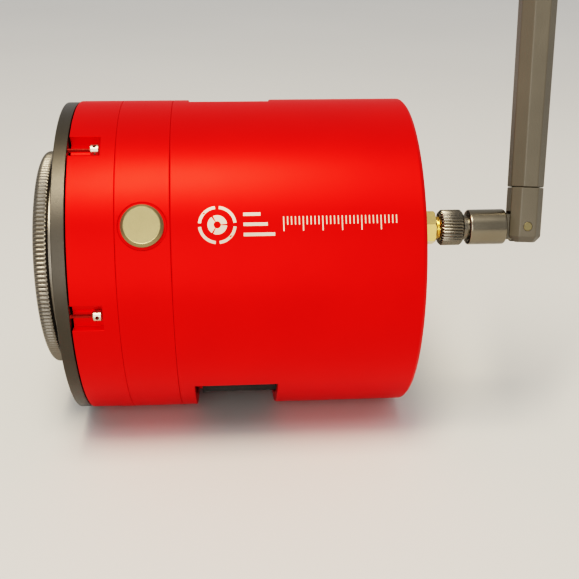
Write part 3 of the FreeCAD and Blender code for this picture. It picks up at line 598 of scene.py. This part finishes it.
finish_piece(front_ring(), "camera_body", RED, ["front_ring"])
finish_piece(chamber_ring(), "camera_body", RED, ["chamber_ring"])
finish_piece(rear_housing(), "camera_body", RED, ["rear_housing"])


# Generic mark on the side: plain rings, bars and a scale -------------------------------------
MARK_R = BODY_R + 0.015
MARK_T = 0.05


def wrapped(name, outlines):
    """Thin plates on the cylinder from closed outlines of (x, distance round the body)."""
    bm = bmesh.new()
    for outline in outlines:
        rings = []
        for radius in (MARK_R - MARK_T, MARK_R):
            rings.append([bm.verts.new((x, -radius * math.sin(s / BODY_R), radius * math.cos(s / BODY_R)))
                          for x, s in outline])
        low, high = rings
        count = len(outline)
        for i in range(count):
            j = (i + 1) % count
            bm.faces.new((low[i], low[j], high[j], high[i]))
        bm.faces.new(high)
        bm.faces.new(low[::-1])
    return from_bmesh(name, bm)


def bar(x0, x1, s0, s1):
    steps = max(1, int(abs(s1 - s0) / 1.0))
    left = [(x0, s0 + (s1 - s0) * i / steps) for i in range(steps + 1)]
    right = [(x1, s1 - (s1 - s0) * i / steps) for i in range(steps + 1)]
    return left + right


def arc_band(x, s, inner, outer, start, end):
    """Part of a flat ring, between two angles in degrees."""
    steps = 16
    angles = [math.radians(start + (end - start) * i / steps) for i in range(steps + 1)]
    outside = [(x + outer * math.cos(a), s + outer * math.sin(a)) for a in angles]
    inside = [(x + inner * math.cos(a), s + inner * math.sin(a)) for a in reversed(angles)]
    return outside + inside


def side_mark():
    left = HOUSING_X + 7.0
    outlines = [arc_band(left + 4.9, 0.0, 4.1, 4.9, 90 * k + 6, 90 * k + 84) for k in range(4)]
    outlines += [arc_band(left + 4.9, 0.0, 0.9, 2.5, 120 * k + 5, 120 * k + 115) for k in range(3)]
    outlines += [bar(left + 11.5, left + 11.5 + length, s - 0.45, s + 0.45)
                 for length, s in ((8.0, 2.6), (6.2, 0.0), (4.4, -2.6))]
    start = HOUSING_X + 28.6
    for i in range(30):
        tall = 1.9 if i % 5 == 0 else 1.1
        outlines.append(bar(start + i, start + i + 0.32, -1.9, -1.9 + 2 * tall))
    return wrapped("side_mark", outlines)


finish_piece(side_mark(), "camera_body", MARK)


# Desiccant plug -----------------------------------------------------------------------------
def on_top(obj, x):
    """Stand a piece turned along X upright at x, its X becoming height."""
    return transform(obj, Matrix.Translation((x, 0, 0)) @ Matrix.Rotation(math.radians(-90), 4, "Y"))


def plug():
    rim = 0.7
    rows = [(38.6, 0.0), (38.6, 3.6), (38.9, 3.9), (PLUG_SEAT, 3.95), (PLUG_SEAT, PLUG_R - 0.1),
            (PLUG_SEAT + 0.12, PLUG_R), (PLUG_TOP - rim, PLUG_R), (PLUG_TOP - 0.08, PLUG_R - rim + 0.05),
            (PLUG_TOP, PLUG_R - rim - 0.1), (PLUG_TOP - 0.06, PLUG_R - rim - 0.35), (PLUG_TOP - 0.06, 0.0)]
    return on_top(lathe("plug", rows, 128), PLUG_X)


finish_piece(plug(), "plug", PLUG_SILVER, ["desiccant_plug"])


# Image sensor -------------------------------------------------------------------------------
SENSOR_X = PLATE_X + 17.5
SENSOR_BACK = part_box("image_sensor")[1].x / MM
WELL_Y, WELL_Z, CHIP_Y, CHIP_Z = 12.4, 8.6, 11.75, 7.85


def sensor_package():
    body = box("package", SENSOR_X - 0.8, SENSOR_BACK, -15.0, 15.0, -11.5, 11.5)
    steps = [box("step", SENSOR_X - 2, SENSOR_X - 0.1, y0, y1, z0, z1)
             for y0, y1, z0, z1 in ((-16, -14.4, -12, 12), (14.4, 16, -12, 12), (-16, 16, -12, -10.9),
                                    (-16, 16, 10.9, 12))]
    well = box("well", SENSOR_X - 2, SENSOR_X + 0.05, -WELL_Y, WELL_Y, -WELL_Z, WELL_Z)
    combine(body, steps + [well])
    return bevel(body, 0.12, 2)


def sensor_chip():
    return bevel(box("chip", SENSOR_X, SENSOR_X + 0.1, -CHIP_Y, CHIP_Y, -CHIP_Z, CHIP_Z), 0.02, 1)


def bond_pads():
    """Gold pads on the floor of the well, along its four sides."""
    spots = [(-11.2 + 0.8 * i, side * 8.22) for i in range(29) for side in (-1, 1)]
    spots += [(side * 12.07, -7.2 + 0.8 * i) for i in range(19) for side in (-1, 1)]
    low, high = SENSOR_X + 0.02, SENSOR_X + 0.06
    return [box("pad", low, high, y - 0.2, y + 0.2, z - 0.2, z + 0.2) for y, z in spots]


finish_piece(sensor_package(), "camera_body", PACKAGE, ["image_sensor"])
finish_piece(sensor_chip(), "camera_body", SENSOR)
finish_piece(joined("bond_pads", bond_pads()), "camera_body", GOLD)


# Rear cover and ports -----------------------------------------------------------------------
FAN_Z = -6.0
COVER_R = BODY_R - 3.1
USB_Y, USB_Z, USB_HALF_Y, USB_HALF_Z = 9.0, 26.6, 6.6, 2.85
DC_Y, DC_Z = 24.0, 24.0
USBC_Y, USBC_Z, USBC_HALF, USBC_R = 13.5, 34.1, 3.0, 1.6
BUTTON_Y, BUTTON_Z, BUTTON_R = -13.0, 34.4, 2.0
LED_Y, LED_Z = -19.0, 33.2
PORT_END = COVER_FACE - 0.2
COVER_SPOTS = [(-38.4 * math.sin(math.radians(a)), 38.4 * math.cos(math.radians(a)))
               for a in (68.0, 125.0, 235.0, 292.0)]
FAN_SPOTS = [(y, FAN_Z + z) for y in (-20.0, 20.0) for z in (-20.0, 20.0)]


def grille_slot(sector, inner, outer, spoke=1.1):
    """Opening between two parallel-sided spokes, in one eighth of a ring."""
    middle = math.radians(45.0 * sector + 22.5)
    outline = []
    for radius, order in ((outer, 1), (inner, -1)):
        half = math.radians(22.5) - math.asin(spoke / radius)
        for i in range(9):
            a = middle + order * half * (i / 4 - 1)
            outline.append((radius * math.sin(a), FAN_Z + radius * math.cos(a)))
    return bar_x("slot", outline, COVER_X - 1, COVER_FACE + 1)


def rear_cover():
    low, high, recess = COVER_X - 1, COVER_FACE + 1, COVER_FACE - 1.4
    cover = lathe("rear_cover_plate", [(COVER_X, 0.0), (COVER_X, COVER_R), (COVER_FACE, COVER_R),
                                       (COVER_FACE, 0.0)], 240)
    slots = [grille_slot(k, r, r + 2.9) for k in range(8) for r in (11.4, 15.6, 19.8)]
    ports = [bar_x("usb", rounded_rectangle(y, USB_Z, 6.8, 3.05, 0.6), low, high) for y in (-USB_Y, USB_Y)]
    ports.append(bar_x("usb_c", rounded_rectangle(USBC_Y, USBC_Z, 4.8, 1.8, 1.75, 8), low, high))
    rounds = [(y, DC_Z, 4.0) for y in (-DC_Y, DC_Y)] + [(BUTTON_Y, BUTTON_Z, BUTTON_R + 0.1),
                                                        (LED_Y, LED_Z, 1.03), (0.0, SMA_Z, 3.225)]
    rounds += [(y, z, 1.35) for y, z in COVER_SPOTS] + [(y, z, 1.5) for y, z in FAN_SPOTS]
    holes = [rod("hole", (low, y, z), (high, y, z), r) for y, z, r in rounds]
    sinks = [rod("sink", (recess, y, z), (high, y, z), 2.45) for y, z in COVER_SPOTS]
    sinks += [rod("sink", (recess, y, z), (high, y, z), 2.75) for y, z in FAN_SPOTS]
    combine(cover, [joined("tools", slots + ports + holes), joined("sinks", sinks)])
    return bevel(cover, 0.16, 2, triangles=True)


def usb_shell(y):
    outline = rounded_rectangle(y, USB_Z, USB_HALF_Y, USB_HALF_Z, 0.5)
    shell = bar_x("usb_shell", outline, REAR_X - 17.0, PORT_END)
    inside = bar_x("inside", rounded_rectangle(y, USB_Z, USB_HALF_Y - 0.4, USB_HALF_Z - 0.4, 0.3),
                   REAR_X - 12.0, PORT_END + 1)
    springs = [box("spring", PORT_END - 5.5, PORT_END - 1.2, y + dy - 0.7, y + dy + 0.7, USB_Z + side * 2.2,
                   USB_Z + side * 3.2) for dy in (-3.2, 3.2) for side in (-1, 1)]
    combine(shell, [inside] + springs)
    return bevel(shell, 0.08, 2)


def usb_tongue(y):
    outline = rounded_rectangle(y, USB_Z + 1.1, 5.6, 0.9, 0.25)
    return bevel(bar_x("usb_tongue", outline, REAR_X - 12.5, COVER_FACE - 1.0), 0.12, 2)


def usb_contacts(y):
    start, end, low = REAR_X - 11, COVER_FACE - 1.6, USB_Z + 0.2
    return [bevel(box("contact", start, end, y + dy - 0.5, y + dy + 0.5, low - 0.08, low + 0.1), 0.03, 1)
            for dy in (-3.5, -1.2, 1.2, 3.5)]


def usb_c():
    outline = rounded_rectangle(USBC_Y, USBC_Z, USBC_HALF + USBC_R, USBC_R, USBC_R - 0.05, 10)
    shell = bar_x("usb_c_shell", outline, REAR_X - 9.0, PORT_END)
    outline = rounded_rectangle(USBC_Y, USBC_Z, USBC_HALF + USBC_R - 0.35, USBC_R - 0.35, USBC_R - 0.4, 10)
    combine(shell, [bar_x("inside", outline, REAR_X - 6.6, PORT_END + 1)])
    return bevel(shell, 0.08, 2)


def usb_c_tongue():
    outline = rounded_rectangle(USBC_Y, USBC_Z, 3.2, 0.35, 0.2, 4)
    return bevel(bar_x("usb_c_tongue", outline, REAR_X - 7.0, COVER_FACE - 0.8), 0.08, 1)


def dc_socket(y):
    bottom, lip, collar, back = REAR_X - 11.0, COVER_FACE + 0.4, COVER_X - 0.1, REAR_X - 14.0
    nose = arc_corner([(bottom, 0.0), (bottom, 3.0), (lip, 3.0), (lip, 3.9), (collar, 3.9), (collar, 4.4),
                       (back, 4.4), (back, 0.0)], 0.25)
    return lathe("dc_socket", nose, 96, (y, DC_Z))


def dc_pin(y):
    rows = [(REAR_X - 11.2, 0.0), (REAR_X - 11.2, 1.05), (COVER_FACE - 0.9, 1.05), (COVER_FACE - 0.5, 0.8),
            (COVER_FACE - 0.4, 0.5), (COVER_FACE - 0.4, 0.0)]
    return lathe("dc_pin", rows, 48, (y, DC_Z))


def reset_button():
    foot, flange, top = COVER_X - 1.1, COVER_X - 0.3, COVER_FACE + 0.9
    rows = arc_corner([(foot, 0.0), (foot, 2.7), (flange, 2.7), (flange, BUTTON_R), (top - 0.05, BUTTON_R),
                       (top - 0.25, 0.9), (top - 0.3, 0.0)], 0.3)
    return lathe("reset_button_cap", rows, 64, (BUTTON_Y, BUTTON_Z))


SIDES = (-1, 1)
finish_piece(rear_cover(), "camera_body", COVER_BLACK, ["rear_cover"])
shells = joined("usb_shells", [usb_shell(side * USB_Y) for side in SIDES])
finish_piece(shells, "camera_body", STEEL, ["usb_a_ports"])
tongues = joined("usb_tongues", [usb_tongue(side * USB_Y) for side in SIDES])
finish_piece(tongues, "camera_body", USB_BLUE)
contacts = joined("usb_contacts", [piece for side in SIDES for piece in usb_contacts(side * USB_Y)])
finish_piece(contacts, "camera_body", GOLD)
finish_piece(usb_c(), "camera_body", STEEL, ["usb_c_port"])
finish_piece(usb_c_tongue(), "camera_body", PLASTIC)
sockets = joined("dc_socket_bodies", [dc_socket(side * DC_Y) for side in SIDES])
finish_piece(sockets, "camera_body", PLASTIC, ["dc_sockets"])
pins = joined("dc_pins", [dc_pin(side * DC_Y) for side in SIDES])
finish_piece(pins, "camera_body", STEEL)
finish_piece(reset_button(), "button", PLASTIC, ["reset_button"])


# Antenna ------------------------------------------------------------------------------------
NUT_X0, NUT_X1 = REAR_X + 4.8, REAR_X + 10.8
SLEEVE_X0, SLEEVE_X1, SLEEVE_R = REAR_X + 12.3, REAR_X + 22.4, 4.65
FORK_HALF_X, FORK_HALF_Y, FORK_BOTTOM, FORK_TOP = 4.3, 4.2, SMA_Z - 4.2, SMA_Z + 10.2
BLADE_END = SMA_Z + 85.0
SMA = (0.0, SMA_Z)
SMA_R, SMA_PITCH = 3.17, 0.7056
NUT_R, NUT_FLUTES = 4.7, 32
TONGUE_HALF, TONGUE_R = 1.8, 3.4


def sma_thread(x, r, turn):
    if abs(r - SMA_R) < 0.01:
        phase = (x / SMA_PITCH - turn / (2 * math.pi)) % 1.0
        return r - 0.36 * (1 - 2 * abs(phase - 0.5))
    return r


def sma_barrel():
    start, end = REAR_X + 0.4, REAR_X + 9.0
    step = SMA_PITCH / 8
    rows = [(COVER_X - 2.4, 0.0), (COVER_X - 2.4, 3.1), (COVER_X - 2.0, 3.1), (COVER_X - 2.0, 4.2),
            (COVER_X, 4.2), (COVER_X, 3.1), (start, 3.1)]
    rows += [(start + step * i, SMA_R) for i in range(1, int((end - start) / step))]
    rows += [(end, 2.85), (end, 2.3), (REAR_X + 1.5, 2.3), (REAR_X + 1.5, 0.6), (REAR_X + 7.3, 0.6),
             (REAR_X + 7.5, 0.4), (REAR_X + 7.5, 0.0)]
    return lathe("sma_barrel", rows, 96, SMA, sma_thread)


def nut_wave(x, r, turn):
    if r > 4.5:
        phase = (turn * NUT_FLUTES / (2 * math.pi)) % 1.0
        return r - 0.30 * (2 * abs(phase - 0.5)) ** 1.5
    return r


def coupling_nut():
    rows = [(NUT_X0, 3.26), (NUT_X0, 4.15), (NUT_X0 + 0.12, 4.3), (NUT_X0 + 0.45, 4.62),
            (NUT_X0 + 0.6, NUT_R), (NUT_X1 - 0.6, NUT_R), (NUT_X1 - 0.45, 4.62), (NUT_X1 - 0.12, 4.3),
            (NUT_X1, 4.15), (NUT_X1, 2.6),
            (NUT_X1 - 1.2, 2.6), (NUT_X1 - 1.2, 3.26)]
    return lathe("coupling_nut", rows, 384, SMA, nut_wave)


def swivelled(obj):
    return about_x(obj, SWIVEL, 0.0, SMA_Z)


def on_blade(obj):
    """Lean a piece back about the hinge pin, and then turn it with the sleeve."""
    pin = Matrix.Translation((PIN_X, 0, SMA_Z))
    return swivelled(transform(obj, pin @ Matrix.Rotation(FOLD, 4, "Y") @ pin.inverted()))


def connector_neck():
    rows = [(NUT_X1 - 1.7, 0.0), (NUT_X1 - 1.7, 3.0), (NUT_X1 - 1.4, 3.0), (NUT_X1 - 1.4, 2.5),
            (NUT_X1 + 0.2, 2.5), (NUT_X1 + 0.2, 3.2), (NUT_X1 + 0.3, 3.3), (SLEEVE_X0, 3.3),
            (SLEEVE_X0, 2.5), (SLEEVE_X0 + 4, 2.5), (SLEEVE_X0 + 4, 0.0)]
    return swivelled(lathe("connector_neck", rows, 96, SMA))


def sleeve():
    shape = arc_corner([(SLEEVE_X0, 2.52), (SLEEVE_X0, SLEEVE_R), (SLEEVE_X1, SLEEVE_R), (SLEEVE_X1, 0.0),
                        (SLEEVE_X0 + 4.1, 0.0), (SLEEVE_X0 + 4.1, 2.52)], 0.7, 6)
    body = lathe("sleeve", shape, 128, SMA)
    angles = [math.radians(a) for a in range(-90, 91, 6)]
    outline = [(SLEEVE_X1 - 1, SMA_Z - TONGUE_R)]
    outline += [(PIN_X + TONGUE_R * math.cos(a), SMA_Z + TONGUE_R * math.sin(a)) for a in angles]
    outline.append((SLEEVE_X1 - 1, SMA_Z + TONGUE_R))
    tongue = bevel(prism("tongue", outline, -TONGUE_HALF, TONGUE_HALF), 0.25)
    combine(body, [tongue], "UNION")
    combine(body, [rod("pin_hole", (PIN_X, -9, SMA_Z), (PIN_X, 9, SMA_Z), 1.25)])
    return swivelled(body)


def octagon(z, half_x, half_y, corner):
    points = [(half_x, half_y - corner), (half_x - corner, half_y), (corner - half_x, half_y),
              (-half_x, half_y - corner), (-half_x, corner - half_y), (corner - half_x, -half_y),
              (half_x - corner, -half_y), (half_x, corner - half_y)]
    return [(PIN_X + x, y, z) for x, y in points]


def fork():
    low, high = FORK_BOTTOM, FORK_TOP
    body = loft("fork", [octagon(low, 2.9, 2.9, 1.0), octagon(low + 1.5, FORK_HALF_X, FORK_HALF_Y, 2.1),
                         octagon(high, FORK_HALF_X, FORK_HALF_Y, 2.1)])
    bevel(body, 0.28)
    combine(body, [box("slot", PIN_X - 9, PIN_X + 3.7, -2.05, 2.05, low - 1, SMA_Z + 3.9),
                   rod("pin_hole", (PIN_X, -9, SMA_Z), (PIN_X, 9, SMA_Z), 1.21)])
    spigot = box("spigot", PIN_X - 2.9, PIN_X + 2.9, -2.8, 2.8, high - 1, high + 7)
    combine(body, [spigot], "UNION")
    return on_blade(body)


def blade():
    low, high = FORK_TOP + 0.15, BLADE_END - 2.5
    body = loft("blade", [octagon(low, 4.45, 4.35, 2.6), octagon(high, 4.75, 4.35, 2.6)])
    bevel(body, 0.3)
    combine(body, [box("hollow", PIN_X - 3, PIN_X + 3, -2.9, 2.9, low - 1, high - 1.5)])
    return on_blade(body)


def blade_tip():
    low, high = BLADE_END - 2.45, BLADE_END
    body = loft("blade_tip", [octagon(low, 4.75, 4.35, 2.6), octagon(high - 0.9, 4.45, 4.05, 2.4),
                              octagon(high, 3.25, 2.85, 1.7)])
    return on_blade(bevel(body, 0.3, angle=math.radians(20)))


def hinge_pin():
    half = FORK_HALF_Y + 0.05
    rows = [(-half, 0.0), (-half, 1.05), (0.15 - half, 1.2), (half - 0.15, 1.2), (half, 1.05), (half, 0.0)]
    pin = lathe("hinge_pin", rows, 48)
    turn = Matrix.Translation((PIN_X, 0, SMA_Z)) @ Matrix.Rotation(math.radians(90), 4, "Z")
    return on_blade(transform(pin, turn))


finish_piece(sma_barrel(), "camera_body", GOLD, ["antenna_connector"])
finish_piece(coupling_nut(), "coupling_nut", NICKEL, ["antenna_coupling_nut"])
finish_piece(connector_neck(), "antenna_swivel", NICKEL, ["antenna_barrel"])
finish_piece(sleeve(), "antenna_swivel", SLEEVE, ["antenna_sleeve"])
finish_piece(fork(), "antenna_blade", ANTENNA, ["antenna_fork"])
finish_piece(blade(), "antenna_blade", ANTENNA, ["antenna_blade"])
finish_piece(blade_tip(), "antenna_blade", ANTENNA, ["antenna_tip"])
finish_piece(hinge_pin(), "antenna_blade", PLUG_SILVER, ["antenna_hinge_pin"])


# Stage, lights and camera -------------------------------------------------------------------
SIGHT = math.radians(18.7)
AXIS_POINT = Vector((0.0517, 0.0, 0.0))
FLOOR_REACH = 4.0
CAMERA_PLACE = (0.0, -0.2743, 0.00923)
CAMERA_YAW_PITCH_ROLL = (-3.852, -7.576, 0.984)
LENS, SHIFT_Y = 55.94, 0.09


def floor():
    bm = bmesh.new()
    bmesh.ops.create_grid(bm, x_segments=8, y_segments=8, size=FLOOR_REACH)
    bmesh.ops.translate(bm, verts=bm.verts, vec=(0, 0, -BODY_R * MM))
    plane = from_bmesh("floor", bm)
    mat, tree, surface, where = shader("pale_floor", 0.0, 0.85)
    tone = noise(tree, where, 3.0)
    colour = two_tone(tree, tone, (0.60, 0.60, 0.595), (0.625, 0.625, 0.62))
    tree.links.new(colour, surface.inputs["Base Color"])
    plane.data.materials.append(mat)


def aim(data, azimuth, elevation, distance):
    """Place a light away from the middle of the body, facing it."""
    light = bpy.data.objects.new(data.name, data)
    bpy.context.scene.collection.objects.link(light)
    a, e = math.radians(azimuth), math.radians(elevation)
    away = Vector((math.sin(a) * math.cos(e), -math.cos(a) * math.cos(e), math.sin(e)))
    light.location = AXIS_POINT + away * distance
    light.rotation_mode = "QUATERNION"
    light.rotation_quaternion = away.to_track_quat("Z", "X")


def area_light(name, azimuth, elevation, distance, size, power, colour):
    data = bpy.data.lights.new(name, "AREA")
    data.shape = "RECTANGLE"
    data.size, data.size_y = size
    data.energy = power
    data.color = colour
    aim(data, azimuth, elevation, distance)


def soft_sun(azimuth, elevation, strength, spread, colour):
    """Even overhead light, so that the floor stays equally bright as far as it shows."""
    data = bpy.data.lights.new("sun", "SUN")
    data.energy = strength
    data.angle = math.radians(spread)
    data.color = colour
    aim(data, azimuth, elevation, 1.0)


def studio():
    world = bpy.data.worlds.new("studio")
    world.use_nodes = True
    background = world.node_tree.nodes["Background"]
    background.inputs["Color"].default_value = (1.0, 0.99, 0.97, 1.0)
    background.inputs["Strength"].default_value = 0.44
    bpy.context.scene.world = world
    soft_sun(-14.0, 66.0, 1.05, 30.0, (1.0, 0.95, 0.88))
    area_light("key", -18.0, 74.0, 0.8, (0.36, 0.20), 6.0, (1.0, 0.84, 0.60))
    area_light("front", -6.0, 14.0, 1.1, (0.9, 0.5), 4.5, (1.0, 0.95, 0.88))


def camera():
    data = bpy.data.cameras.new("camera")
    data.sensor_width = 36.0
    data.lens = LENS
    data.shift_y = SHIFT_Y
    data.clip_start = 0.01
    cam = bpy.data.objects.new("camera", data)
    bpy.context.scene.collection.objects.link(cam)
    tilt = Matrix.Rotation(-SIGHT, 4, "X")
    place = Matrix.Translation(AXIS_POINT) @ tilt @ Matrix.Translation(CAMERA_PLACE)
    yaw, pitch, roll = (math.radians(a) for a in CAMERA_YAW_PITCH_ROLL)
    turn = Matrix.Rotation(yaw, 4, "Z") @ Matrix.Rotation(pitch, 4, "X") @ Matrix.Rotation(roll, 4, "Y")
    cam.matrix_world = place @ turn @ Matrix.Rotation(math.radians(90), 4, "X")
    bpy.context.scene.camera = cam


floor()
studio()
camera()
bpy.context.scene.view_settings.view_transform = "Filmic"
bpy.context.scene.view_settings.look = "High Contrast"
